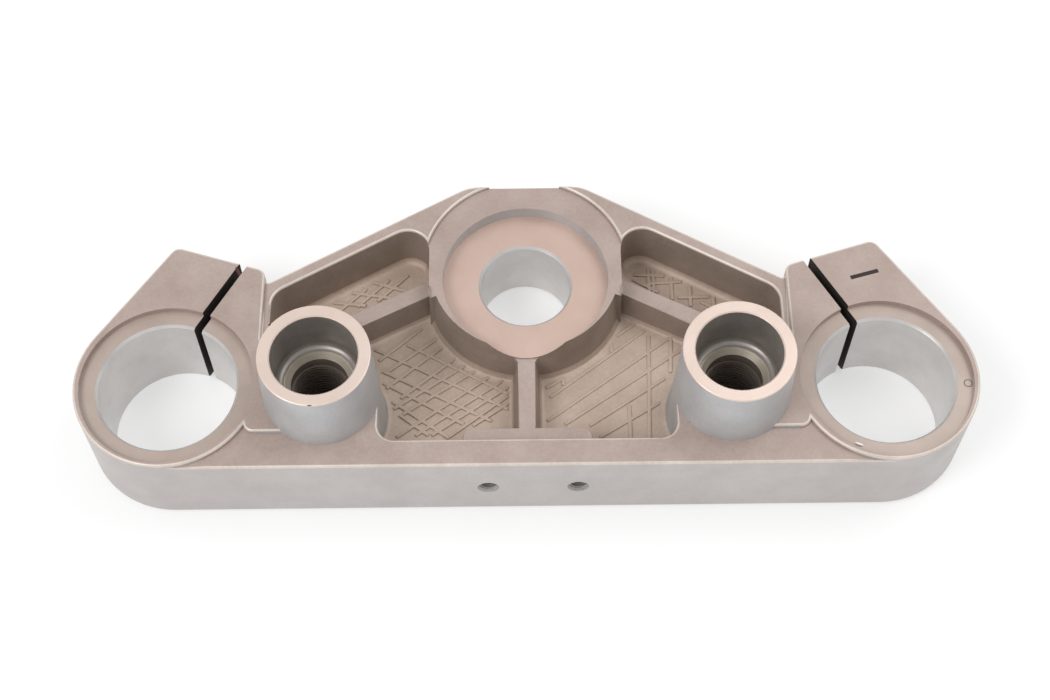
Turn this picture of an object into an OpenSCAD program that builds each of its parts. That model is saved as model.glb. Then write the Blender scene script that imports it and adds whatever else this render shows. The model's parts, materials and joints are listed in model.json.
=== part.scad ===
// Motorcycle triple clamp: the top yoke that joins both fork tubes to the
// steering stem, one aluminium casting with machined bores.
// The flat show face is down at z = 0 and the ribbed side is up.
// The origin is the axis of the stem bore; -Y is the front of the motorcycle.

/* [Fork clamps] */
// Diameter of each fork tube bore
fork_bore_d = 41; // [38:0.5:43]
// Distance between the two fork tube bores
fork_spacing = 212.6; // [206:0.2:220]
// Distance of the fork tube bores in front of the steering stem
fork_offset = 36.7; // [34:0.1:40]
// Wall between a fork bore and the outer end of the clamp
fork_side_wall = 7; // [6:0.25:9]
// Wall between a fork bore and the front face
fork_front_wall = 6.4; // [5:0.2:8]
// Height of the raised pads round the fork bores
fork_pad_h = 32.5; // [32:0.25:34]
// Width of the machined ring round each fork bore
fork_ring_w = 5.2; // [4:0.1:5.5]
// Depth of the machined ring below the raised pad
fork_ring_drop = 2; // [1:0.25:3]
// Distance of the pad's front step behind the front face
pad_front_gap = 11; // [8:0.1:12]
// Reach of the pad's front corner inwards from the fork bore's axis
pad_corner_reach = 23.5; // [23.2:0.1:24.5]

/* [Clamp lugs] */
// Width of the saw slot that lets each clamp close
slot_w = 2.5; // [2:0.25:4]
// Angle of the slot away from the line between the fork bores
slot_angle = 60; // [55:1:65]
// Distance of the slot's centre line outwards from the fork bore's axis
slot_shift = 2.9; // [1:0.1:4]
// Angle of the lug's outer face, measured on the fork bore
lug_angle = 34.7; // [30:0.1:38]
// Distance of the lug's inner side from the middle of the clamp
lug_inner_x = 79.3; // [78:0.1:81]
// Step from the rear wall up to the lug's rear face
lug_step = 4.1; // [3.8:0.1:6]
// Slope of the lug's rear face
lug_slope = 17.5; // [12:0.5:22]
// Radius of the lug's upright corners
lug_corner_r = 3; // [2.6:0.1:3.2]
// Radius in the corner between the lug and the rear wall
lug_root_r = 1; // [0.6:0.1:1.1]
// Distance of the pinch bolt from the fork bore's axis, along the slot
bolt_reach = 30.5; // [29.5:0.25:32]
// Height of the pinch bolt above the show face
bolt_z = 15.5; // [13:0.5:18]
// Diameter of the pinch bolt's clearance hole
bolt_clear_d = 8.5; // [8.25:0.25:9]
// Diameter of the drilling for the pinch bolt's thread
bolt_tap_d = 6.8; // [6:0.1:7]
// Depth of the thread's drilling past the slot
bolt_tap_depth = 14; // [11:0.5:16]
// Diameter of the counterbore for the pinch bolt's head
bolt_head_d = 15; // [14:0.5:16]
// Depth of the counterbore for the pinch bolt's head
bolt_head_depth = 4; // [3:0.25:6]

/* [Outer walls] */
// Height of the rim round the pockets
rim_h = 31; // [30.5:0.25:31.5]
// Distance of the flat rear edge behind the stem axis
rear_y = 33; // [33:0.1:35]
// Half the width of the flat rear edge
rear_flat_half = 17.5; // [16:0.5:20]
// Slope of the rear walls
rear_slope = 29.5; // [28.5:0.1:30]
// Radius between the flat rear edge and a sloping rear wall
rear_corner_r = 12; // [8:1:16]
// Thickness of the rear walls at the rim
rear_wall = 3.9; // [3:0.1:5]
// Thickness of the front wall at the rim
front_wall = 8.5; // [7:0.25:10]
// Thickness of the wall between a rear pocket and the lug's step
end_wall = 2.2; // [1.5:0.1:3]

/* [Pockets] */
// Thickness of the floor under the pockets
floor_t = 13; // [11:0.5:15]
// Draft of the stem boss
wall_draft = 5; // [3:0.5:6]
// Size of the blend between the stem boss and the pocket floor
floor_fillet_r = 2.4; // [2.2:0.1:2.6]
// Size of the blends between the handlebar bosses and the pocket floor
bar_fillet_r = 1.9; // [1.7:0.1:2]
// Size of the blends between the ribs and the pocket floor
rib_fillet_r = 1.5; // [1:0.1:1.6]
// Corner radius of the rear pockets
rear_pocket_r = 6.8; // [6:0.1:7.5]
// Corner radius of the front pocket
front_pocket_r = 4.8; // [4.4:0.1:6]

/* [Ribs] */
// Width of the ribs along their top
rib_w = 5.2; // [4:0.1:6]
// Draft of the ribs' sides
rib_draft = 8; // [5:0.5:9]
// Height of the middle rib and of the block behind the front holes
middle_rib_h = 24.8; // [22:0.1:25]
// Height of the two diagonal ribs
diagonal_rib_h = 23.2; // [20:0.4:25]
// Angle of the diagonal ribs
diagonal_rib_angle = 27; // [24:0.5:29]
// Point where the diagonal ribs' centre lines cross, behind the stem axis
diagonal_rib_y = 15.8; // [14:0.1:17]
// Radius where the middle rib runs into the stem boss
middle_rib_blend_r = 3; // [2:0.25:4]
// Half the width of the block behind the front holes
block_half_w = 19.1; // [18:0.1:22]
// Depth of the block, from the front face
block_depth = 15.1; // [14.5:0.1:17]

/* [Steering stem boss] */
// Diameter of the steering stem bore
stem_bore_d = 27.5; // [24:0.5:30]
// Diameter of the machined face round the stem bore
stem_face_d = 50.8; // [48:0.2:52]
// Height of the machined face
stem_face_h = 25.2; // [25:0.1:27]
// Diameter of the cast boss
stem_boss_d = 58; // [56:0.5:58]
// Distance of the cast boss's centre behind the bore
stem_boss_back = 4; // [3:0.1:4.2]
// Height of the cast boss
stem_boss_h = 29.7; // [28:0.1:30]
// Gap between the cast boss and the step up to the rim
stem_step_gap = 2; // [1:0.25:2.5]
// Chamfer at the mouths of the machined bores
bore_chamfer = 0.7; // [0.4:0.1:1]

/* [Handlebar bosses] */
// Distance between the two handlebar bosses
bar_spacing = 121; // [119:0.5:123]
// Distance of the handlebar bosses in front of the stem axis
bar_offset = 39.3; // [38.5:0.1:40]
// Height of the handlebar bosses above the show face
bar_boss_h = 54; // [48:0.5:58]
// Diameter of a handlebar boss at its end
bar_end_d = 32.6; // [31:0.1:33.5]
// Diameter of a handlebar boss at the rim
bar_base_d = 34.6; // [34:0.1:35.4]
// Diameter of the cup for the rubber damper
bar_cup_d = 25.2; // [22:0.2:26]
// Depth of the cup
bar_cup_depth = 16.6; // [12:0.2:20]
// Radius at the bottom of the cup
bar_cup_fillet_r = 2.2; // [1:0.1:2.3]
// Diameter of the hole on through the boss
bar_hole_d = 17; // [14:0.5:18]
// Chamfer where the hole leaves the cup
bar_hole_chamfer = 1.5; // [1:0.1:1.7]

/* [Front holes] */
// Distance between the two threaded holes in the front face
front_hole_spacing = 26.6; // [24:0.2:28]
// Distance of the pair's middle to the right of the stem axis
front_hole_shift = 1.6; // [0:0.1:2]
// Height of the front holes above the show face
front_hole_z = 15.6; // [14:0.1:17]
// Diameter of the drilling for the thread
front_hole_d = 5; // [4.2:0.1:5.5]
// Depth of the drilling
front_hole_depth = 12.5; // [10:0.5:13]

/* [Hidden] */
$fn = 96;
clear = 1;
casting_colour = [0.69, 0.63, 0.59];

fork_x = fork_spacing / 2;
fork_y = -fork_offset;
end_r = fork_bore_d / 2 + fork_side_wall;
front_y = fork_y - fork_bore_d / 2 - fork_front_wall;
end_y = front_y + end_r;
end_x = fork_x + end_r;
fork_ring_r = fork_bore_d / 2 + fork_ring_w;
fork_ring_h = fork_pad_h - fork_ring_drop;
bar_x = bar_spacing / 2;
bar_y = -bar_offset;

// Height of the sloping rear wall's outer face at a distance from the middle
function rear_line(x) = rear_y - (x - rear_flat_half) * tan(rear_slope);
function rear_inner_line(x) = rear_line(x) - rear_wall / cos(rear_slope);

// The lug: its inner rear corner, and the outer one where its faces cross
lug_root_y = rear_line(lug_inner_x);
lug_in = [lug_inner_x, lug_root_y + lug_step];
lug_normal = [cos(lug_angle), sin(lug_angle)];
lug_run = (end_r - (lug_in - [fork_x, end_y]) * lug_normal)
    / ([cos(lug_slope), sin(lug_slope)] * lug_normal);
lug_out = lug_in + lug_run * [cos(lug_slope), sin(lug_slope)];
end_bisector = (lug_angle - 90) / 2;
end_half_turn = (lug_angle + 90) / 2;
end_corner = [fork_x, end_y]
    + end_r / cos(end_half_turn) * [cos(end_bisector), sin(end_bisector)];
lug_corner = [fork_x, end_y] + end_r * [1, tan(lug_angle / 2)];

// Directions along the slot and outwards across it, on the right-hand lug
slot_dir = [-cos(slot_angle), sin(slot_angle)];
bolt_dir = [sin(slot_angle), cos(slot_angle)];
bolt_point = [fork_x, fork_y] + bolt_reach * slot_dir + slot_shift * bolt_dir;
bolt_run = (end_r - (bolt_point - [fork_x, end_y]) * lug_normal) / (bolt_dir * lug_normal);

// Pockets and bosses
pocket_h = rim_h - floor_t;
stem_boss_r = stem_boss_d / 2;
bar_base_r = bar_base_d / 2;
bar_edge_r = 0.4;
bar_draft = atan((bar_base_d - bar_end_d) / 2 / (bar_boss_h - rim_h));

// Corners are [x, y, radius], listed counter-clockwise. These functions give
// the directions into and out of a corner, how far the outline turns there,
// the two ends of the corner's arc and the arc's centre.
function point(c, i) = let (p = c[(i + len(c)) % len(c)]) [p[0], p[1]];
function unit(v) = v / norm(v);
function way_in(c, i) = unit(point(c, i) - point(c, i - 1));
function way_out(c, i) = unit(point(c, i + 1) - point(c, i));
function turn(c, i) = let (a = way_in(c, i), b = way_out(c, i)) atan2(cross(a, b), a * b);
function reach(c, i) = c[i][2] * tan(abs(turn(c, i)) / 2);
function arc_start(c, i) = point(c, i) - reach(c, i) * way_in(c, i);
function arc_end(c, i) = point(c, i) + reach(c, i) * way_out(c, i);
function arc_centre(c, i) = let (a = way_in(c, i), s = sign(turn(c, i)))
    arc_start(c, i) + s * c[i][2] * [-a[1], a[0]];
function heading(v) = atan2(v[1], v[0]);
function mirrored(c) = [for (i = [len(c) - 1:-1:0]) [-c[i][0], c[i][1], c[i][2]]];

// Flat outline with true arcs at its corners
module outline(c) {
    difference() {
        union() {
            polygon([for (i = [0:len(c) - 1])
                for (p = c[i][2] > 0 ? [arc_start(c, i), arc_end(c, i)] : [point(c, i)]) p]);
            for (i = [0:len(c) - 1])
                if (c[i][2] > 0 && turn(c, i) > 0)
                    translate(arc_centre(c, i)) circle(r = c[i][2]);
        }
        for (i = [0:len(c) - 1])
            if (c[i][2] > 0 && turn(c, i) < 0)
                translate(arc_centre(c, i)) circle(r = c[i][2]);
    }
}

// The two slanting faces, r wide and high, that blend an upright face into the
// floor outside its foot; the lower one runs on a little below the floor
function foot_blend(foot, draft, r) = let (s = r * (1 - cos(45)),
        low = [foot + r, floor_t], bend = [foot + s * (1 - tan(draft)), floor_t + s])
    [low + (low - bend) / 2, bend, [foot - r * tan(draft), floor_t + r]];

// Half section of an upright wall that stands on the pocket floor, top_r wide
// at height h, with a blend of size r at its foot
module wall_section(top_r, h, draft, r) {
    blend = foot_blend(top_r + (h - floor_t) * tan(draft), draft, r);
    polygon(concat([[0, floor_t - clear], [blend[0][0], floor_t - clear]], blend,
        [[top_r, h], [0, h]]));
}

// Corners of the whole clamp's outline: its round end, the lug's two corners,
// the lug's root and the rear edge's corner on each side
rim_corners_right = [
    [end_corner[0], end_corner[1], end_r],
    [lug_out[0], lug_out[1], lug_corner_r],
    [lug_in[0], lug_in[1], lug_corner_r],
    [lug_inner_x, lug_root_y, lug_root_r],
    [rear_flat_half, rear_y, rear_corner_r]];
rim_corners = concat(rim_corners_right, mirrored(rim_corners_right));

// Corners of the raised pad round the right-hand fork bore and its lug
pad_front_y = front_y + pad_front_gap;
pad_corner_x = fork_x - pad_corner_reach;
pad_corners = [
    [end_x, fork_y, 0],
    [lug_corner[0], lug_corner[1], end_r],
    [lug_out[0], lug_out[1], lug_corner_r],
    [lug_in[0], lug_in[1], lug_corner_r],
    [lug_inner_x, bar_y + bar_base_r, 0],
    [bar_x + bar_base_r / 2, bar_y + bar_base_r / 2, 0],
    [bar_x + bar_base_r / 2, pad_front_y, 0],
    [pad_corner_x, pad_front_y, lug_corner_r],
    [pad_corner_x, fork_y, 0]];

// Both sides of the clamp
module both_sides() {
    children();
    mirror([1, 0, 0]) children();
}

// Solid plate, up to the rim
module plate() {
    linear_extrude(rim_h) outline(rim_corners);
}

// Raised pad round a fork bore
module fork_pad() {
    base = rim_h / 2;
    translate([0, 0, base]) linear_extrude(fork_pad_h - base) outline(pad_corners);
}

// Rear pocket on the right
module rear_pocket() {
    out_x = lug_inner_x - end_wall;
    in_x = stem_boss_r + 0.5;
    front = bar_y;
    translate([0, 0, floor_t]) linear_extrude(pocket_h + clear)
        outline([[out_x, front, 0], [out_x, rear_inner_line(out_x), rear_pocket_r],
            [in_x, rear_inner_line(in_x), rear_pocket_r], [in_x, front, 0]]);
}

// Pocket behind the front wall, across both sides
module front_pocket() {
    x = bar_x - bar_base_r + 0.5;
    front = front_y + front_wall;
    rear = bar_y + bar_base_r + 2 * front_pocket_r;
    translate([0, 0, floor_t]) linear_extrude(pocket_h + clear)
        outline([[-x, front, front_pocket_r], [x, front, front_pocket_r],
            [x, rear, front_pocket_r], [0, front_pocket_r, 0],
            [-x, rear, front_pocket_r]]);
}

// Cast boss round the stem bore, as it stands in the pockets
module stem_boss() {
    translate([0, stem_boss_back, 0])
        rotate_extrude() wall_section(stem_boss_r, stem_boss_h, wall_draft, floor_fillet_r);
}

// Middle rib from the stem boss to the block, with the blends at the boss
module middle_rib() {
    foot_y = front_y + block_depth - clear;
    rotate([90, 0, 0]) linear_extrude(-foot_y) {
        wall_section(rib_w / 2, middle_rib_h, rib_draft, rib_fillet_r);
        mirror([1, 0]) wall_section(rib_w / 2, middle_rib_h, rib_draft, rib_fillet_r);
    }
    blend_x = rib_w / 2 + middle_rib_blend_r;
    blend_reach = stem_boss_r + middle_rib_blend_r;
    blend_y = stem_boss_back - sqrt(pow(blend_reach, 2) - pow(blend_x, 2));
    on_boss = [0, stem_boss_back]
        + stem_boss_r / blend_reach * ([blend_x, blend_y] - [0, stem_boss_back]);
    both_sides() translate([0, 0, floor_t - clear])
        linear_extrude(middle_rib_h - floor_t + clear) difference() {
            polygon([[0, blend_y], [rib_w / 2, blend_y], on_boss, [0, on_boss[1] + clear]]);
            translate([blend_x, blend_y]) circle(r = middle_rib_blend_r);
        }
}

// Low block behind the front wall, which holds the two threaded holes
module front_block() {
    x = block_half_w;
    y = front_y + block_depth;
    translate([0, 0, floor_t - clear]) linear_extrude(middle_rib_h - floor_t + clear)
        outline([[-x, front_y, 0], [x, front_y, 0], [x, y, lug_corner_r],
            [-x, y, lug_corner_r]]);
}

// Low rib from the stem boss past the handlebar boss on the right, and the
// web that joins it to that boss
module diagonal_rib() {
    far = (lug_inner_x - end_wall) / cos(diagonal_rib_angle);
    translate([0, diagonal_rib_y, 0]) rotate([90, 0, -diagonal_rib_angle + 90])
        linear_extrude(far) {
            wall_section(rib_w / 2, diagonal_rib_h, rib_draft, rib_fillet_r);
            mirror([1, 0]) wall_section(rib_w / 2, diagonal_rib_h, rib_draft, rib_fillet_r);
        }
    side = bar_x - bar_base_r / 2;
    translate([0, 0, floor_t - clear]) linear_extrude(diagonal_rib_h - floor_t + clear)
        polygon([[side, diagonal_rib_y - side * tan(diagonal_rib_angle)], [side, bar_y],
            [lug_inner_x, bar_y],
            [lug_inner_x, diagonal_rib_y - lug_inner_x * tan(diagonal_rib_angle)]]);
}

// All that is hollow in the ribbed side
module pockets() {
    difference() {
        union() {
            front_pocket();
            both_sides() rear_pocket();
        }
        stem_boss();
        middle_rib();
        front_block();
        both_sides() diagonal_rib();
    }
}

// Handlebar boss on the right: a slightly tapered stub that stands on the floor
module bar_boss() {
    end_r = bar_end_d / 2;
    foot = bar_base_r + (rim_h - floor_t) * tan(bar_draft);
    blend = foot_blend(foot, bar_draft, bar_fillet_r);
    translate([bar_x, bar_y, 0]) rotate_extrude()
        outline([[0, floor_t / 2, 0], [blend[0][0], floor_t / 2, 0],
            [blend[0][0], blend[0][1], 0], [blend[1][0], blend[1][1], 0],
            [blend[2][0], blend[2][1], 0], [end_r, bar_boss_h, bar_edge_r],
            [0, bar_boss_h, 0]]);
}

// Cup and through hole of the right-hand handlebar boss
module bar_cup() {
    cup_r = bar_cup_d / 2;
    hole_r = bar_hole_d / 2;
    ledge = bar_boss_h - bar_cup_depth;
    translate([bar_x, bar_y, 0]) rotate_extrude()
        outline([[0, -clear, 0], [hole_r + bore_chamfer + clear, -clear, 0],
            [hole_r, bore_chamfer, 0], [hole_r, ledge - bar_hole_chamfer, 0],
            [hole_r + bar_hole_chamfer, ledge, 0], [cup_r, ledge, bar_cup_fillet_r],
            [cup_r, bar_boss_h - bore_chamfer / 2, 0],
            [cup_r + bore_chamfer / 2 + clear, bar_boss_h + clear, 0],
            [0, bar_boss_h + clear, 0]]);
}

// Round hole from z0 to z1 with a chamfer at each end
module chamfered_bore(d, z0, z1) {
    translate([0, 0, z0 - clear]) cylinder(h = z1 - z0 + 2 * clear, d = d);
    translate([0, 0, z1 - bore_chamfer])
        cylinder(h = bore_chamfer + clear, d1 = d, d2 = d + 2 * (bore_chamfer + clear));
    translate([0, 0, z0 - clear])
        cylinder(h = bore_chamfer + clear, d1 = d + 2 * (bore_chamfer + clear), d2 = d);
}

// Fork bore on the right with its machined ring and its slot
module fork_bore() {
    translate([fork_x, fork_y, 0]) {
        chamfered_bore(fork_bore_d, 0, fork_ring_h);
        translate([0, 0, fork_ring_h]) cylinder(h = bar_boss_h, r = fork_ring_r);
        rotate(180 - slot_angle)
            translate([fork_bore_d / 4, -slot_shift - slot_w / 2, -clear])
                cube([end_r + fork_bore_d, slot_w, fork_pad_h + 2 * clear]);
    }
}

// Pinch bolt's hole across the right-hand lug, entered from the outer face
module pinch_bolt_hole() {
    translate([bolt_point[0], bolt_point[1], bolt_z]) rotate([90, 0, 90 + 90 - slot_angle]) {
        cylinder(h = bolt_run + clear, d = bolt_clear_d);
        translate([0, 0, bolt_run - bolt_head_depth])
            cylinder(h = bolt_head_depth + bolt_head_d, d = bolt_head_d);
        translate([0, 0, -bolt_tap_depth - slot_w / 2])
            cylinder(h = bolt_tap_depth + slot_w, d = bolt_tap_d);
    }
}

// Two threaded holes in the front face
module front_holes() {
    for (s = [-1, 1])
        translate([front_hole_shift + s * front_hole_spacing / 2, front_y, front_hole_z])
            rotate([-90, 0, 0]) {
                translate([0, 0, -clear])
                    cylinder(h = front_hole_depth + clear, d = front_hole_d);
                translate([0, 0, -clear])
                    cylinder(h = bore_chamfer + clear, d1 = front_hole_d + 2 * (bore_chamfer + clear),
                        d2 = front_hole_d);
            }
}

// Machined face and bore of the steering stem, and the low land round them
module stem_machining() {
    translate([0, 0, -clear]) cylinder(h = stem_face_h + 2 * clear, d = stem_bore_d);
    translate([0, 0, stem_face_h - bore_chamfer])
        cylinder(h = bore_chamfer + clear, d1 = stem_bore_d,
            d2 = stem_bore_d + 2 * (bore_chamfer + clear));
    translate([0, 0, stem_face_h]) cylinder(h = rim_h, d = stem_face_d);
    translate([0, stem_boss_back, stem_boss_h])
        cylinder(h = rim_h, r = stem_boss_r + stem_step_gap);
}

module triple_clamp() {
    color(casting_colour) difference() {
        union() {
            difference() {
                plate();
                pockets();
                stem_machining();
                both_sides() fork_bore();
            }
            both_sides() {
                difference() {
                    fork_pad();
                    fork_bore();
                }
                bar_boss();
            }
        }
        both_sides() {
            pinch_bolt_hole();
            bar_cup();
        }
        front_holes();
    }
}

triple_clamp();
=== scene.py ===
import json
import math

import bpy
from mathutils import Matrix, Vector

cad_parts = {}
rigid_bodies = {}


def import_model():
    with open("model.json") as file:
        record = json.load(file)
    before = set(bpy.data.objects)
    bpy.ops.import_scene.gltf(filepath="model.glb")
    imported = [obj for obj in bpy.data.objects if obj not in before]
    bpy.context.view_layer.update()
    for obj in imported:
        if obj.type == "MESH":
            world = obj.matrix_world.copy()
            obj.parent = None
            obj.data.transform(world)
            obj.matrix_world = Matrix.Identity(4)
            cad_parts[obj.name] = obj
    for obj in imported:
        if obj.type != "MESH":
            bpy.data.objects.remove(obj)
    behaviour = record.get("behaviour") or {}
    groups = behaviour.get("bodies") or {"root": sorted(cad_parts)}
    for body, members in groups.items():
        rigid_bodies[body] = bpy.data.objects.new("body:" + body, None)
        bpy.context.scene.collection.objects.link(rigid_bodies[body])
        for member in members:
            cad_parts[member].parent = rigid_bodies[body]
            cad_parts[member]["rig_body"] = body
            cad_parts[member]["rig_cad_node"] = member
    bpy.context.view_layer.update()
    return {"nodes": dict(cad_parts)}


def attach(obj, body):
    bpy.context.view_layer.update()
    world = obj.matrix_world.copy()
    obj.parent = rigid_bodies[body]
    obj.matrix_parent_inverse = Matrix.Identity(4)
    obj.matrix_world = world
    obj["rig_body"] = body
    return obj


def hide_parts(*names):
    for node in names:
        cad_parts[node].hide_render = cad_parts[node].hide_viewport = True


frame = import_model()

# The looks of a motorcycle triple clamp: the casting with its softened edges and
# blended pockets, the raised hatching on the pocket floors, the threads, and the
# small marks of the machining. Blender works in metres; the values below are in
# millimetres and pass through mm().


def mm(*values):
    """Millimetres as Blender's metres: one number, or a tuple of several."""
    scaled = tuple(v / 1000 for v in values)
    return scaled if len(scaled) > 1 else scaled[0]


# Main sizes of the casting. Both sides are alike, so an axis is given once, as
# the x and y of the right-hand one in the plan.
FORK = (106.3, -36.7)
FORK_R = 20.5
RING_R = 25.7
RING_Z = 30.5
END_R = 27.5
PAD_Z = 32.5
RIM_Z = 31.0
FLOOR_Z = 13.0
FRONT_Y = -63.6
FORK_END = (FORK[0], FRONT_Y + END_R)

# Saw slots in the clamp lugs
SLOT_ANGLE = math.radians(60)
SLOT_SHIFT = 2.9
SLOT_HALF = 1.25

# Handlebar bosses. The end face lies within BAR_END_R of the axis, and the
# boss with its foot within BAR_FOOT_R.
BAR = (60.5, -39.3)
BAR_TOP = 54.0
BAR_END_R = 17
BAR_FOOT_R = 21
CUP_R = 12.6
CUP_Z = 37.4
BAR_HOLE_R = 8.5

# Steering stem boss and its land, which ends at LAND_SIDE towards each rear pocket
STEM = (0.0, 0.0)
STEM_R = 13.75
STEM_FACE_R = 25.4
STEM_FACE_Z = 25.2
LAND_Z = 29.7
LAND_SIDE = 29.5
LAND_FRONT = -6

# Front holes. Each lies with its chamfer within FRONT_MOUTH_R of its axis, and
# FRONT_HOLE_REACH behind the front.
FRONT_HOLES = (1.6 - 13.3, 1.6 + 13.3)
FRONT_HOLE_Z = 15.6
FRONT_HOLE_R = 2.5
FRONT_MOUTH_R = 3.5
FRONT_HOLE_REACH = 13

# Bounds that hold all the pockets: front, rear and sides
POCKET_FRONT_Y = FRONT_Y + 5
POCKET_REAR_Y = 29
POCKET_SIDE_X = 79

# Rounding of the cast edges, as radius and number of strips
SHOW_EDGE = (2.4, 4)
POCKET_FOOT = (2.0, 4)
RIM_EDGE = (0.7, 3)
RIB_EDGE = (0.5, 2)
RIB_LEVELS = (24.8, 23.2)


# Choosing faces and edges by their place


def only(obj):
    bpy.ops.object.select_all(action="DESELECT")
    obj.select_set(True)
    bpy.context.view_layer.objects.active = obj


def away_from(at, axis):
    """Distance in the plan from the nearer of the two axes at x and -x."""
    return math.hypot(abs(at.x) - axis[0], at.y - axis[1])


def slot_distance(at):
    """Distance across the saw slot from its middle plane."""
    across = abs(at.x) - FORK[0]
    along = at.y - FORK[1]
    return across * math.sin(SLOT_ANGLE) + along * math.cos(SLOT_ANGLE) - SLOT_SHIFT


def in_slot(at, room):
    """Whether a place on an edge is within room of a slot's middle, behind the fork bore."""
    return abs(slot_distance(at)) < room and at.y > FORK[1]


def on_level(z, level, room=0.05):
    return abs(z - level) < room


def sharpness(faces):
    """Angle between the two faces of an edge, in degrees."""
    return math.degrees(faces[0].normal.angle(faces[1].normal, 0.0))


def heights(mesh, edge):
    """Heights of an edge's two ends, in millimetres."""
    return [mesh.vertices[v].co.z * 1000 for v in edge.vertices]


def middle(mesh, edge):
    """The middle of an edge, in millimetres."""
    a, b = (mesh.vertices[v].co for v in edge.vertices)
    return (a + b) * (1000 / 2)


def pick_edges(obj, wanted):
    """Selects the edges for which wanted(mesh, edge, faces) is true, and counts them."""
    mesh = obj.data
    faces_of = {}
    for face in mesh.polygons:
        for key in face.edge_keys:
            faces_of.setdefault(key, []).append(face)
    for item in (mesh.polygons, mesh.edges, mesh.vertices):
        for one in item:
            one.select = False
    count = 0
    for edge in mesh.edges:
        faces = faces_of.get(edge.key, [])
        if len(faces) == 2 and wanted(mesh, edge, faces):
            edge.select = True
            for v in edge.vertices:
                mesh.vertices[v].select = True
            count += 1
    return count


def bevel_edges(obj, wanted, radius, strips, long_edge=40, cuts=24):
    """Rounds the wanted edges with the edit-mode bevel, after cutting long
    ones into short runs, so that only the last run narrows at a corner."""
    def is_long(mesh, edge, faces):
        a, b = (mesh.vertices[v].co for v in edge.vertices)
        return (b - a).length > mm(long_edge) and wanted(mesh, edge, faces)

    only(obj)
    bpy.ops.object.mode_set(mode="EDIT")
    bpy.ops.mesh.select_mode(type="EDGE")
    bpy.ops.mesh.select_all(action="DESELECT")
    bpy.ops.object.mode_set(mode="OBJECT")
    if pick_edges(obj, is_long):
        bpy.ops.object.mode_set(mode="EDIT")
        bpy.ops.mesh.subdivide(number_cuts=cuts)
        bpy.ops.object.mode_set(mode="OBJECT")
    count = pick_edges(obj, wanted)
    bpy.ops.object.mode_set(mode="EDIT")
    if count:
        bpy.ops.mesh.bevel(offset=mm(radius), offset_type="OFFSET", segments=strips,
                           profile=0.5, clamp_overlap=False, harden_normals=False)
    bpy.ops.object.mode_set(mode="OBJECT")


# Edges to round


def outer_bottom(mesh, edge, faces):
    """Edge between the flat show face and the outer walls."""
    za, zb = heights(mesh, edge)
    if not (on_level(za, 0) and on_level(zb, 0)) or sharpness(faces) < 60:
        return False
    side = faces[0] if abs(faces[0].normal.z) < 0.5 else faces[1]
    if abs(side.normal.z) > 0.3:
        return False
    at = middle(mesh, edge)
    in_bore = away_from(at, FORK) < FORK_R + 2
    return not in_bore and not in_slot(at, 2)


def pocket_foot(mesh, edge, faces):
    """Edge between a pocket's upright wall and its floor."""
    za, zb = heights(mesh, edge)
    if not (on_level(za, FLOOR_Z) and on_level(zb, FLOOR_Z)):
        return False
    flat = [f for f in faces if f.normal.z > 0.99]
    wall = [f for f in faces if abs(f.normal.z) < 0.05]
    return len(flat) == 1 and len(wall) == 1


def top_edge(levels):
    """Test for an edge where a top face on one of the levels turns down into a
    wall. The cut edges of slots, bores, rings and stem face stay sharp."""
    def wanted(mesh, edge, faces):
        za, zb = heights(mesh, edge)
        if abs(za - zb) > 0.02 or not any(on_level(za, level) for level in levels):
            return False
        flat = [f for f in faces if f.normal.z > 0.99]
        wall = [f for f in faces if abs(f.normal.z) < 0.35]
        if len(flat) != 1 or len(wall) != 1 or wall[0].center.z * 1000 > za - 0.1:
            return False
        at = middle(mesh, edge)
        in_bore = away_from(at, FORK) < FORK_R + 1.5
        in_stem = away_from(at, STEM) < STEM_FACE_R + 0.3
        on_ring = abs(away_from(at, FORK) - RING_R) < 0.3
        return not (in_slot(at, 1.8) or in_bore or in_stem or on_ring)
    return wanted


# The casting


def copy_of_casting():
    """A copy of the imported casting, its loose triangles merged into whole faces."""
    node = frame["nodes"]["triple_clamp"]
    only(node)
    bpy.ops.object.duplicate()
    casting = bpy.context.active_object
    bpy.ops.object.parent_clear(type="CLEAR_KEEP_TRANSFORM")
    casting.name = "casting"
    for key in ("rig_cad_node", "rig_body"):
        if key in casting:
            del casting[key]
    only(casting)
    if casting.data.has_custom_normals:
        bpy.ops.mesh.customdata_custom_splitnormals_clear()
    bpy.ops.object.mode_set(mode="EDIT")
    bpy.ops.mesh.select_all(action="SELECT")
    bpy.ops.mesh.remove_doubles(threshold=mm(0.04))
    bpy.ops.mesh.dissolve_degenerate(threshold=mm(0.01))
    bpy.ops.mesh.dissolve_limited(angle_limit=math.radians(1.0))
    bpy.ops.object.mode_set(mode="OBJECT")
    return casting


def draw_back_land(casting, back=3.4):
    """Moves the sharp top corner of the stem boss's land, beside each diagonal
    rib, towards the rear, so that the land's edge follows the boss."""
    only(casting)
    bpy.ops.object.mode_set(mode="EDIT")
    bpy.ops.mesh.select_mode(type="VERT")
    bpy.ops.mesh.select_all(action="DESELECT")
    bpy.ops.object.mode_set(mode="OBJECT")
    for v in casting.data.vertices:
        x, y, z = v.co * 1000
        v.select = on_level(abs(x), LAND_SIDE, 0.1) and z > LAND_Z - 0.5 and y < LAND_FRONT
    bpy.ops.object.mode_set(mode="EDIT")
    bpy.ops.transform.translate(value=(0, mm(back), 0))
    bpy.ops.object.mode_set(mode="OBJECT")


def smooth_casting(casting):
    """Smooth shading that leaves the flat faces flat and the sharp edges sharp."""
    only(casting)
    bpy.ops.object.shade_smooth_by_angle(angle=math.radians(32))
    bpy.ops.object.modifier_add(type="WEIGHTED_NORMAL")
    weighted = casting.modifiers[-1]
    weighted.keep_sharp = True
    weighted.weight = 100
    bpy.ops.object.modifier_apply(modifier=weighted.name)


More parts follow.
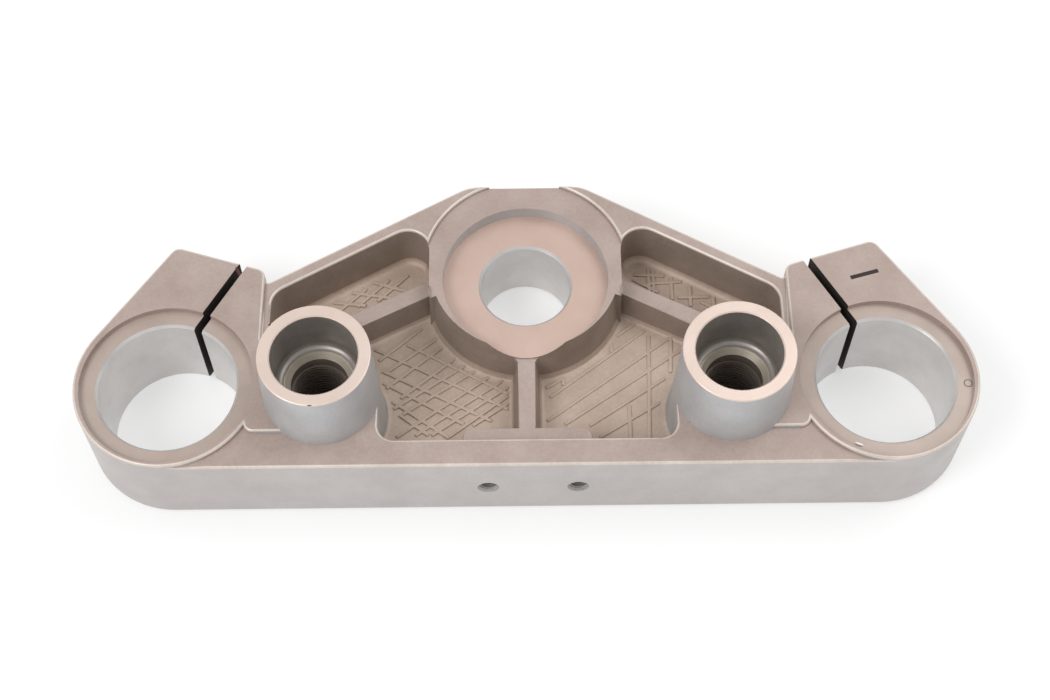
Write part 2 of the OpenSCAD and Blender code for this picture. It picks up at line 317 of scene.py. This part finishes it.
casting = copy_of_casting()
draw_back_land(casting)
bevel_edges(casting, outer_bottom, *SHOW_EDGE)
bevel_edges(casting, pocket_foot, *POCKET_FOOT)
bevel_edges(casting, top_edge((RIM_Z, PAD_Z)), *RIM_EDGE)
bevel_edges(casting, top_edge(RIB_LEVELS), *RIB_EDGE)
smooth_casting(casting)


# Shader values and finishes


def colour(r, g, b):
    """A colour given as it looks on screen, 0 to 255, as the shader takes it."""
    def one(c):
        c = c / 255
        return c / 12.92 if c <= 0.04045 else ((c + 0.055) / 1.055) ** 2.4
    return (one(r), one(g), one(b), 1.0)


class Value:
    """A shader value that takes part in sums as a number does."""

    def __init__(self, finish, socket):
        self.finish = finish
        self.socket = socket

    def sum(self, operation, *terms):
        node = self.finish.add("ShaderNodeMath", {"operation": operation})
        for socket, term in zip(node.inputs, terms):
            self.finish.feed(socket, term)
        return Value(self.finish, node.outputs[0])

    def __add__(self, other):
        return self.sum("ADD", self, other)

    def __radd__(self, other):
        return self.sum("ADD", other, self)

    def __sub__(self, other):
        return self.sum("SUBTRACT", self, other)

    def __rsub__(self, other):
        return self.sum("SUBTRACT", other, self)

    def __mul__(self, other):
        return self.sum("MULTIPLY", self, other)

    def __rmul__(self, other):
        return self.sum("MULTIPLY", other, self)

    def __abs__(self):
        return self.sum("ABSOLUTE", self)

    def root(self):
        return self.sum("SQRT", self)

    def sine(self):
        return self.sum("SINE", self)

    def above(self, limit, soft):
        """0 below the limit, 1 above it, with a soft step between them."""
        step = self.finish.add("ShaderNodeMapRange", {"interpolation_type": "SMOOTHSTEP"},
                               {"Value": self, "From Min": limit - soft, "From Max": limit + soft})
        return Value(self.finish, step.outputs[0])


class Shader:
    """A new material, and the one way in which nodes are added to it."""

    def __init__(self, name):
        self.material = bpy.data.materials.new(name)
        self.material.use_nodes = True
        self.tree = self.material.node_tree

    def add(self, kind, settings=None, values=None):
        """A node of this kind, with its settings set first and then its sockets."""
        node = self.tree.nodes.new(kind)
        for name, value in (settings or {}).items():
            setattr(node, name, value)
        for name, value in (values or {}).items():
            self.feed(node.inputs[name], value)
        return node

    def feed(self, socket, value):
        """Links a value to a socket, or sets the socket to a plain number or colour."""
        if isinstance(value, Value):
            value = value.socket
        if isinstance(value, bpy.types.NodeSocket):
            self.tree.links.new(value, socket)
        else:
            socket.default_value = value


class Finish(Shader):
    """A surface whose patterns lie in the piece's own Object coordinates."""

    def __init__(self, name, roughness, metallic=0.0):
        super().__init__(name)
        self.surface = self.tree.nodes["Principled BSDF"]
        self.surface.inputs["Roughness"].default_value = roughness
        self.surface.inputs["Metallic"].default_value = metallic
        self.place = self.add("ShaderNodeTexCoord").outputs["Object"]
        axes = self.add("ShaderNodeSeparateXYZ", values={"Vector": self.place})
        self.x, self.y, self.z = (Value(self, axes.outputs[i]) for i in range(3))

    def noise(self, size, detail, rough):
        """Noise whose features are about size millimetres across, from 0 to 1."""
        node = self.add("ShaderNodeTexNoise", values={
            "Vector": self.place, "Scale": 1000 / size, "Detail": detail, "Roughness": rough})
        return Value(self, node.outputs[0])

    def mix(self, share, first, second):
        """The first colour where share is 0, and the second where it is 1."""
        node = self.add("ShaderNodeMix", {"data_type": "RGBA"})
        self.feed(node.inputs[0], share)
        self.feed(node.inputs[6], first)
        self.feed(node.inputs[7], second)
        return node.outputs[2]

    def paint(self, value):
        self.feed(self.surface.inputs["Base Color"], value)

    def rough(self, value):
        self.feed(self.surface.inputs["Roughness"], value)

    def bump(self, height, depth):
        """Raises the surface by up to depth millimetres where height is 1."""
        node = self.add("ShaderNodeBump", values={
            "Height": height, "Distance": depth / 1000, "Strength": 1.0})
        self.feed(self.surface.inputs["Normal"], node.outputs[0])

    def away_from(self, x, y):
        """Distance in the plan from the nearer of the axes at x and -x, in millimetres."""
        across = abs(self.x) * 1000 - x
        along = self.y * 1000 - y
        return (across * across + along * along).root()


# Colour of the small dark pits in the cast skin
PIT = colour(112, 98, 88)


def cast_finish(name, light, dark, grain=0.09, rough=0.52):
    """Sand-cast aluminium: fine grain with soft patches of two shades."""
    f = Finish(name, rough, 0.25)
    patches = f.noise(14, 4, 0.6)
    grains = f.noise(0.9, 5, 0.65)
    specks = f.noise(1.3, 2, 0.5).above(0.74, 0.03)
    share = (patches - 0.5) * 1.5 + (grains - 0.5) * 1.1 + 0.45
    tone = f.mix(share.above(0.5, 0.75), dark, light)
    f.paint(f.mix(specks * 0.25, tone, PIT))
    f.rough(rough + (grains - 0.5) * 0.3)
    f.bump(grains * 0.75 + patches * 0.25, grain)
    return f.material


def turned_finish(name, light, dark, centre, rough=0.36, metallic=0.45):
    """A face cut on a lathe: fine rings round the axis it was cut about."""
    f = Finish(name, rough, metallic)
    distance = f.away_from(*centre)
    wander = f.noise(9, 2, 0.5)
    rings = (distance * 11.0 + wander * 2.5).sine() * 0.5 + 0.5
    fine = f.noise(0.6, 3, 0.6)
    patches = f.noise(17, 3, 0.6)
    share = patches * 0.75 + rings * 0.14 + fine * 0.2
    f.paint(f.mix(share.above(0.52, 0.42), dark, light))
    f.rough(rough + (fine - 0.5) * 0.18)
    f.bump(rings * 0.5 + fine * 0.5, 0.018)
    return f.material


def bored_finish(name, light, dark, rough=0.32, metallic=0.55):
    """A bored wall: fine marks that run round it."""
    f = Finish(name, rough, metallic)
    wander = f.noise(12, 2, 0.5)
    marks = (f.z * 7000.0 + wander * 2.0).sine() * 0.5 + 0.5
    patches = f.noise(15, 4, 0.6)
    fine = f.noise(0.8, 3, 0.6)
    share = patches * 0.8 + marks * 0.12 + fine * 0.15
    f.paint(f.mix(share.above(0.52, 0.42), dark, light))
    f.rough(rough + (patches - 0.5) * 0.2)
    f.bump(marks * 0.5 + fine * 0.5, 0.02)
    return f.material


def plain_finish(name, light, rough, metallic=0.0, shade=0.72):
    """One colour, with small patches of a darker shade of it."""
    dark = tuple(c * shade for c in light[:3]) + (1.0,)
    f = Finish(name, rough, metallic)
    f.paint(f.mix(f.noise(1.5, 3, 0.6), light, dark))
    return f.material


FINISHES = {
    "skin": cast_finish("cast skin", colour(187, 170, 162), colour(162, 144, 135)),
    "pocket": cast_finish("pocket skin", colour(206, 188, 173), colour(174, 155, 140), 0.13, 0.6),
    # The pocket walls are the pocket skin in darker colours: painted shade in the recesses.
    "pocket_shade": cast_finish("pocket wall shade", colour(168, 152, 140), colour(138, 122, 111), 0.13, 0.6),
    "wall": cast_finish("outer wall", colour(194, 189, 186), colour(174, 168, 165), 0.05, 0.45),
    # Lighter colours on the rounded rim edges: a painted highlight where the edges catch the light.
    "edge": cast_finish("edge highlight", colour(222, 213, 204), colour(196, 182, 171), 0.03, 0.4),
    "side": cast_finish("boss side", colour(192, 192, 192), colour(168, 168, 170), 0.05, 0.42),
    "ring": turned_finish("fork ring", colour(188, 172, 162), colour(164, 148, 138), FORK, 0.45, 0.3),
    "face": turned_finish("stem face", colour(214, 188, 176), colour(196, 168, 155), STEM),
    "end": turned_finish("boss end", colour(232, 214, 203), colour(214, 192, 180), BAR),
    "bore": bored_finish("bored wall", colour(224, 221, 219), colour(190, 187, 185)),
    # The cup wall is the bored finish in darker colours: painted shade inside the cup and the front
    # hole mouths.
    "cup": bored_finish("cup wall shade", colour(178, 172, 166), colour(122, 114, 108), 0.4, 0.5),
    # The hole wall is the bored finish darker still: painted shade down the deep handlebar holes.
    "hole": bored_finish("hole wall shade", colour(150, 138, 128), colour(98, 88, 80), 0.5, 0.4),
    "ledge": turned_finish("cup ledge", colour(206, 198, 182), colour(176, 166, 150), BAR),
    # The saw slot's cut walls are painted near black: painted shade inside the narrow slot.
    "slot": plain_finish("saw slot", colour(58, 50, 46), 0.7, 0.2),
}


# Finishes of the casting's faces, by their place in millimetres


def cut_finish(at, normal):
    """The finish of a sawn, bored, drilled or turned face of the plate, or None."""
    up = normal.z
    from_fork = away_from(at, FORK)
    from_stem = away_from(at, STEM)
    # The slot walls take the near-black painted shade.
    if abs(slot_distance(at)) < SLOT_HALF + 0.1 and at.y > FORK[1] + 10 and abs(up) < 0.5:
        return "slot"
    if from_fork < FORK_R + 0.9 and up < 0.95:
        return "bore"
    if from_fork < RING_R + 0.05 and on_level(at.z, RING_Z, 0.1) and up > 0.9:
        return "ring"
    if from_stem < STEM_R + 0.9 and up < 0.95:
        return "bore"
    if from_stem < STEM_FACE_R + 0.05 and on_level(at.z, STEM_FACE_Z, 0.2) and up > 0.5:
        return "face"
    # The front hole mouths take the darkened cup wall: painted shade.
    if at.y < FRONT_Y + FRONT_HOLE_REACH and any(
            math.hypot(at.x - x, at.z - FRONT_HOLE_Z) < FRONT_MOUTH_R for x in FRONT_HOLES):
        return "cup"
    inwards = at.x * normal.x + at.y * normal.y < 0
    on_step = on_level(from_stem, STEM_FACE_R, 0.6) and at.z > STEM_FACE_Z
    return "side" if inwards and on_step and abs(up) < 0.5 else None


def bar_finish(at, normal):
    """The finish of a face of a handlebar boss, or None."""
    up = normal.z
    from_bar = away_from(at, BAR)
    if from_bar < BAR_END_R and at.z > BAR_TOP - 0.7:
        return "end"
    if from_bar < BAR_HOLE_R + 1.7 and CUP_Z - 1.7 < at.z < CUP_Z + 0.1 and up > 0.3:
        return "ledge"
    # The cup wall is darkened: painted shade inside the cup.
    if from_bar < CUP_R + 0.6 and at.z > CUP_Z - 0.1:
        return "cup"
    # The hole wall is darkened further: painted shade down the hole.
    if from_bar < BAR_HOLE_R + 1.2 and up < 0.9:
        return "hole"
    if from_bar < BAR_FOOT_R and FLOOR_Z + 0.1 < at.z < BAR_TOP and abs(up) < 0.9:
        out_x = math.copysign(normal.x, normal.x * at.x)
        outwards = (abs(at.x) - BAR[0]) * out_x + (at.y - BAR[1]) * normal.y
        if outwards > 0.5 * from_bar:
            return "side"
    return None


def outside_finish(at, normal):
    """The finish of a rounded rim, painted lighter as an edge highlight, or of an outer wall at the
    front or round a fork, or None.
    """
    up = normal.z
    upright = abs(up) < 0.6
    beside_fork = abs(at.x) > FORK[0]
    from_end = away_from(at, FORK_END)
    # The rounded rim edges take the lighter painted highlight.
    if 0.1 < up < 0.97 and RIM_Z - 0.8 < at.z < PAD_Z:
        return "edge"
    if upright and at.y < FRONT_Y + 3:
        return "wall"
    if upright and beside_fork and from_end > END_R - (3.5 if at.y < FORK[1] else 0.3):
        return "wall"
    return None


def pocket_finish(at, normal):
    """The finish of a face inside a pocket, or None: the floor and its foot take the pocket skin, and
    the upright walls a darker copy of it that is painted shade.
    """
    inside = POCKET_FRONT_Y < at.y < POCKET_REAR_Y and abs(at.x) < POCKET_SIDE_X
    if not inside or not FLOOR_Z - 0.1 < at.z < RIM_Z - 1:
        return None
    if at.z < FLOOR_Z + POCKET_FOOT[0] + 0.4:
        return "pocket"
    # Upright walls take the darker copy: painted shade.
    return "pocket_shade" if normal.z < 0.6 else None


def finish_of(face):
    """The name of the finish that a face of the casting takes."""
    at = face.center * 1000
    for part in (cut_finish, bar_finish, outside_finish, pocket_finish):
        name = part(at, face.normal)
        if name:
            return name
    return "skin"


def paint_casting():
    """Gives each part of the casting its finish, one selection at a time."""
    casting.data.materials.clear()
    for material in FINISHES.values():
        casting.data.materials.append(material)
    names = [finish_of(face) for face in casting.data.polygons]
    for number, name in enumerate(FINISHES):
        only(casting)
        bpy.ops.object.mode_set(mode="EDIT")
        bpy.ops.mesh.select_mode(type="FACE")
        bpy.ops.mesh.select_all(action="DESELECT")
        bpy.ops.object.mode_set(mode="OBJECT")
        for face, its in zip(casting.data.polygons, names):
            face.select = its == name
        casting.active_material_index = number
        bpy.ops.object.mode_set(mode="EDIT")
        bpy.ops.object.material_slot_assign()
        bpy.ops.object.mode_set(mode="OBJECT")


paint_casting()
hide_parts("triple_clamp")
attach(casting, "root")


# Pieces added to the casting


def joined(parts, name):
    """Joins the parts into one piece, with its place in its mesh."""
    bpy.ops.object.select_all(action="DESELECT")
    for part in parts:
        part.select_set(True)
    bpy.context.view_layer.objects.active = parts[0]
    if len(parts) > 1:
        bpy.ops.object.join()
    piece = bpy.context.active_object
    bpy.ops.object.transform_apply(location=True, rotation=True, scale=True)
    piece.name = name
    return piece


def dress(piece, material):
    """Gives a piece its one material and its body."""
    piece.data.materials.clear()
    piece.data.materials.append(material)
    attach(piece, "root")


# Hatching on the pocket floors


def ridge(a, b, height, width=1.1, sunk=0.3):
    """A low raised line on a pocket floor, from a to b in the plan."""
    run = math.hypot(b[0] - a[0], b[1] - a[1])
    at = mm((a[0] + b[0]) / 2, (a[1] + b[1]) / 2, FLOOR_Z + (height - sunk) / 2)
    bpy.ops.mesh.primitive_cube_add(size=1, location=at,
                                    rotation=(0, 0, math.atan2(b[1] - a[1], b[0] - a[0])))
    bar = bpy.context.active_object
    bar.scale = mm(run, width, height + sunk)
    return bar


# Ends of the raised lines, as they lie in the plan: the front pocket right and left
# of its middle rib, then the rear pockets
RIGHT_LINES = [
    ((26.1, -12.9), (35.7, -5.8)), ((7.1, -32.6), (37.1, -9.4)), ((6.2, -40.6), (44.8, -12.0)),
    ((11.5, -41.8), (47.7, -16.7)), ((19.0, -42.3), (42.5, -26.4)), ((21.9, -46.3), (40.6, -34.7)),
    ((6.0, -29.4), (11.9, -25.6)), ((11.3, -25.5), (11.3, -28.5)), ((26.4, -11.1), (26.4, -17.1)),
    ((31.2, -35.6), (31.2, -47.4)), ((38.1, -11.4), (36.9, -47.5)), ((45.1, -11.3), (44.3, -24.5)),
]
LEFT_LINES = [
    ((-36.9, -13.7), (-5.6, -31.2)), ((-46.9, -15.2), (-5.6, -36.5)),
    ((-44.4, -22.8), (-10.7, -40.5)), ((-43.9, -26.9), (-19.1, -41.5)),
    ((-41.0, -33.4), (-23.5, -46.1)), ((-38.7, -38.0), (-29.7, -45.1)),
    ((-45.4, -19.3), (-32.5, -8.1)), ((-43.5, -23.8), (-27.0, -11.2)),
    ((-42.9, -28.9), (-26.0, -14.7)), ((-38.4, -32.4), (-20.1, -17.2)),
    ((-40.5, -36.0), (-17.4, -20.3)), ((-37.8, -38.0), (-13.7, -21.8)),
    ((-39.4, -45.6), (-10.1, -24.3)), ((-33.7, -45.1), (-6.1, -25.8)),
    ((-28.8, -45.1), (-5.6, -28.9)), ((-23.5, -45.6), (-5.6, -31.9)),
    ((-16.4, -42.0), (-5.6, -34.5)),
]
REAR_RIGHT_LINES = [
    ((39.1, 13.2), (39.1, 4.6)), ((40.6, 12.4), (40.6, 4.2)), ((46.2, 9.6), (46.2, 1.4)),
    ((51.9, 6.2), (51.9, -1.0)), ((59.1, 2.2), (59.1, -3.6)), ((34.4, 10.8), (44.0, 10.2)),
    ((38.2, 7.4), (49.4, 8.0)), ((48.0, 2.2), (58.0, 2.4)), ((34.0, 9.2), (42.0, 4.2)),
    ((55.0, 0.6), (62.0, -3.4)),
]
REAR_LEFT_LINES = [
    ((-37.0, 11.4), (-46.4, 2.0)), ((-43.0, 9.8), (-52.6, 0.0)), ((-50.0, 6.6), (-58.4, -1.6)),
    ((-36.0, 5.0), (-48.0, 9.0)), ((-42.0, 3.0), (-54.4, 5.2)), ((-50.0, 0.4), (-60.0, 1.6)),
]


def make_hatching(lowest=0.42, rise=0.007, edge=0.22):
    """All raised lines as one piece, each a little higher than the one before,
    so that no two tops lie in one plane where the lines cross."""
    lines = RIGHT_LINES + LEFT_LINES + REAR_RIGHT_LINES + REAR_LEFT_LINES
    ridges = [ridge(a, b, lowest + rise * number) for number, (a, b) in enumerate(lines)]
    hatching = joined(ridges, "hatching")
    only(hatching)
    bpy.ops.object.mode_set(mode="EDIT")
    bpy.ops.mesh.select_all(action="SELECT")
    bpy.ops.mesh.bevel(offset=mm(edge), segments=2, clamp_overlap=True)
    bpy.ops.object.mode_set(mode="OBJECT")
    bpy.ops.object.shade_smooth_by_angle(angle=math.radians(40))
    dress(hatching, FINISHES["pocket"])


make_hatching()


# Threads


def thread(name, at, axis, radius, pitch, turns, size, material, steps=28):
    """A helical ridge of three-sided section inside a hole, wound along its axis."""
    bpy.ops.mesh.primitive_circle_add(vertices=3, radius=mm(size))
    coil = bpy.context.active_object
    bpy.ops.object.mode_set(mode="EDIT")
    bpy.ops.mesh.select_all(action="SELECT")
    if axis == "Z":
        bpy.ops.transform.rotate(value=math.radians(90), orient_axis="X", center_override=(0, 0, 0))
    bpy.ops.transform.translate(value=(mm(radius), 0, 0))
    bpy.ops.object.mode_set(mode="OBJECT")
    bpy.ops.object.modifier_add(type="SCREW")
    screw = coil.modifiers[-1]
    screw.axis = axis
    screw.screw_offset = mm(pitch)
    screw.iterations = turns
    screw.steps = steps
    screw.render_steps = steps
    screw.use_merge_vertices = False
    bpy.ops.object.modifier_apply(modifier=screw.name)
    coil.location = mm(*at)
    coil = joined([coil], name)
    bpy.ops.object.mode_set(mode="EDIT")
    bpy.ops.mesh.select_all(action="SELECT")
    bpy.ops.mesh.normals_make_consistent(inside=False)
    bpy.ops.object.mode_set(mode="OBJECT")
    bpy.ops.object.shade_smooth_by_angle(angle=math.radians(50))
    dress(coil, material)


for number, x in enumerate(FRONT_HOLES):
    thread(f"front_thread_{number + 1}", (x, FRONT_Y + 0.9, FRONT_HOLE_Z), "Y",
           FRONT_HOLE_R, pitch=1.0, turns=10, size=0.42, material=FINISHES["side"])
# The handlebar threads take the darkened hole wall: painted shade.
for name, side in (("right", 1), ("left", -1)):
    thread(f"boss_thread_{name}", (side * BAR[0], BAR[1], 12.0), "Z",
           BAR_HOLE_R, pitch=1.5, turns=14, size=0.55, material=FINISHES["hole"])


# Small marks


def lay(piece, name, scale, turn):
    """Sizes a primitive, turns it about the vertical and makes it a piece."""
    piece.scale = mm(*scale)
    piece.rotation_euler = (0, 0, math.radians(turn))
    return joined([piece], name)


def dash(name, at, scale, turn, material):
    """A flat drawn line with softened edges."""
    bpy.ops.mesh.primitive_cube_add(size=1, location=mm(*at))
    piece = lay(bpy.context.active_object, name, scale, turn)
    bpy.ops.object.mode_set(mode="EDIT")
    bpy.ops.mesh.select_all(action="SELECT")
    bpy.ops.mesh.bevel(offset=mm(0.5), segments=3, clamp_overlap=True)
    bpy.ops.object.mode_set(mode="OBJECT")
    bpy.ops.object.shade_smooth_by_angle(angle=math.radians(40))
    dress(piece, material)


def nick(name, at, scale, turn, material):
    """A small flattened lump on the surface."""
    bpy.ops.mesh.primitive_uv_sphere_add(segments=20, ring_count=10, radius=0.5, location=mm(*at))
    piece = lay(bpy.context.active_object, name, scale, turn)
    bpy.ops.object.shade_smooth_by_angle(angle=math.radians(40))
    dress(piece, material)


def punch_mark(name, at, radius, wire):
    """The raised lip round a punch mark."""
    bpy.ops.mesh.primitive_torus_add(major_radius=mm(radius), minor_radius=mm(wire),
                                     major_segments=32, minor_segments=8, location=mm(*at))
    piece = joined([bpy.context.active_object], name)
    bpy.ops.object.shade_smooth_by_angle(angle=math.radians(60))
    # The lip takes the darkened hole wall: painted shade of the punch mark.
    dress(piece, FINISHES["hole"])


INK = plain_finish("ink", colour(44, 30, 28), 0.6)
BRIGHT = plain_finish("bright nick", colour(232, 228, 224), 0.3, 0.3)
RUST = plain_finish("dark burr", colour(78, 44, 34), 0.7)
dash("ink_dash", (103.2, -1.5, PAD_Z), (9.0, 1.35, 0.06), 15.8, INK)
nick("nick_front", (96.1, -58.0, RIM_Z), (2.6, 0.7, 0.12), -24, BRIGHT)
nick("burr_slot", (-87.6, 1.9, PAD_Z - 0.2), (4.0, 1.0, 0.7), -62, RUST)
nick("nick_boss_1", (-73.4, -29.4, BAR_TOP - 0.1), (1.0, 0.6, 0.18), 0, INK)
nick("nick_boss_2", (-60.9, -55.4, BAR_TOP - 0.1), (1.4, 0.5, 0.18), 0, INK)

punch_mark("punch_mark", (130.4, -38.3, RING_Z), radius=1.15, wire=0.16)


# Camera

PHOTO_WIDTH = 1050
CAMERA_AT = (-3.065, -283.548, 497.885)
AZIMUTH = math.radians(0.59)
ELEVATION = math.radians(61.099)
ROLL = math.radians(-0.094)
FOCAL_PIXELS = 1787.93
SENSOR = 36


def place_camera():
    """Camera at the photo's place, built from its right, up and back directions."""
    level = (math.cos(AZIMUTH), -math.sin(AZIMUTH), 0.0)
    ahead = (math.sin(AZIMUTH) * math.cos(ELEVATION),
             math.cos(AZIMUTH) * math.cos(ELEVATION), -math.sin(ELEVATION))
    steep = (level[1] * ahead[2] - level[2] * ahead[1],
             level[2] * ahead[0] - level[0] * ahead[2],
             level[0] * ahead[1] - level[1] * ahead[0])
    right = [math.cos(ROLL) * level[i] + math.sin(ROLL) * steep[i] for i in range(3)]
    up = [math.cos(ROLL) * steep[i] - math.sin(ROLL) * level[i] for i in range(3)]
    at = mm(*CAMERA_AT)
    rows = [[right[i], up[i], -ahead[i], at[i]] for i in range(3)] + [[0, 0, 0, 1]]
    bpy.ops.object.camera_add()
    camera = bpy.context.active_object
    camera.matrix_world = Matrix(rows)
    camera.data.sensor_width = SENSOR
    camera.data.lens = FOCAL_PIXELS / PHOTO_WIDTH * SENSOR
    camera.data.clip_start = 0.01
    camera.data.clip_end = 20
    bpy.context.scene.camera = camera


place_camera()


# Floor and light


def white(level):
    """A grey or white of this brightness, as a shader takes it."""
    return (level, level, level, 1)


def make_floor():
    """A pale floor that glows a little, so that it stays near white round the part."""
    bpy.ops.mesh.primitive_plane_add(size=6, location=(0, 0, mm(-0.05)))
    floor = bpy.context.active_object
    floor.name = "floor"
    shader = Shader("pale floor")
    shader.tree.nodes.clear()
    diffuse = shader.add("ShaderNodeBsdfDiffuse", values={"Color": white(0.92)})
    glow = shader.add("ShaderNodeEmission", values={"Color": white(1), "Strength": 1.05})
    mix = shader.add("ShaderNodeMixShader", values={"Fac": 0.45})
    shader.feed(mix.inputs[1], diffuse.outputs["BSDF"])
    shader.feed(mix.inputs[2], glow.outputs["Emission"])
    shader.add("ShaderNodeOutputMaterial", values={"Surface": mix.outputs["Shader"]})
    floor.data.materials.append(shader.material)


def make_world(strength=0.75):
    """Even white light from all round."""
    world = bpy.data.worlds.new("studio")
    bpy.context.scene.world = world
    world.use_nodes = True
    back = world.node_tree.nodes["Background"]
    back.inputs["Color"].default_value = white(1)
    back.inputs["Strength"].default_value = strength


def lamp(at, size, power):
    """A square lamp at a place in metres, turned to the clamp."""
    bpy.ops.object.light_add(type="AREA", location=at)
    light = bpy.context.active_object
    light.data.size = size
    light.data.energy = power
    light.rotation_euler = Vector([-v for v in at]).to_track_quat("-Z", "Y").to_euler()


make_floor()
make_world()
lamp((-0.7, -0.5, 1.1), size=0.5, power=7)
lamp((0.6, 0.3, 1.1), size=0.6, power=3.4)
bpy.context.scene.view_settings.view_transform = "Standard"
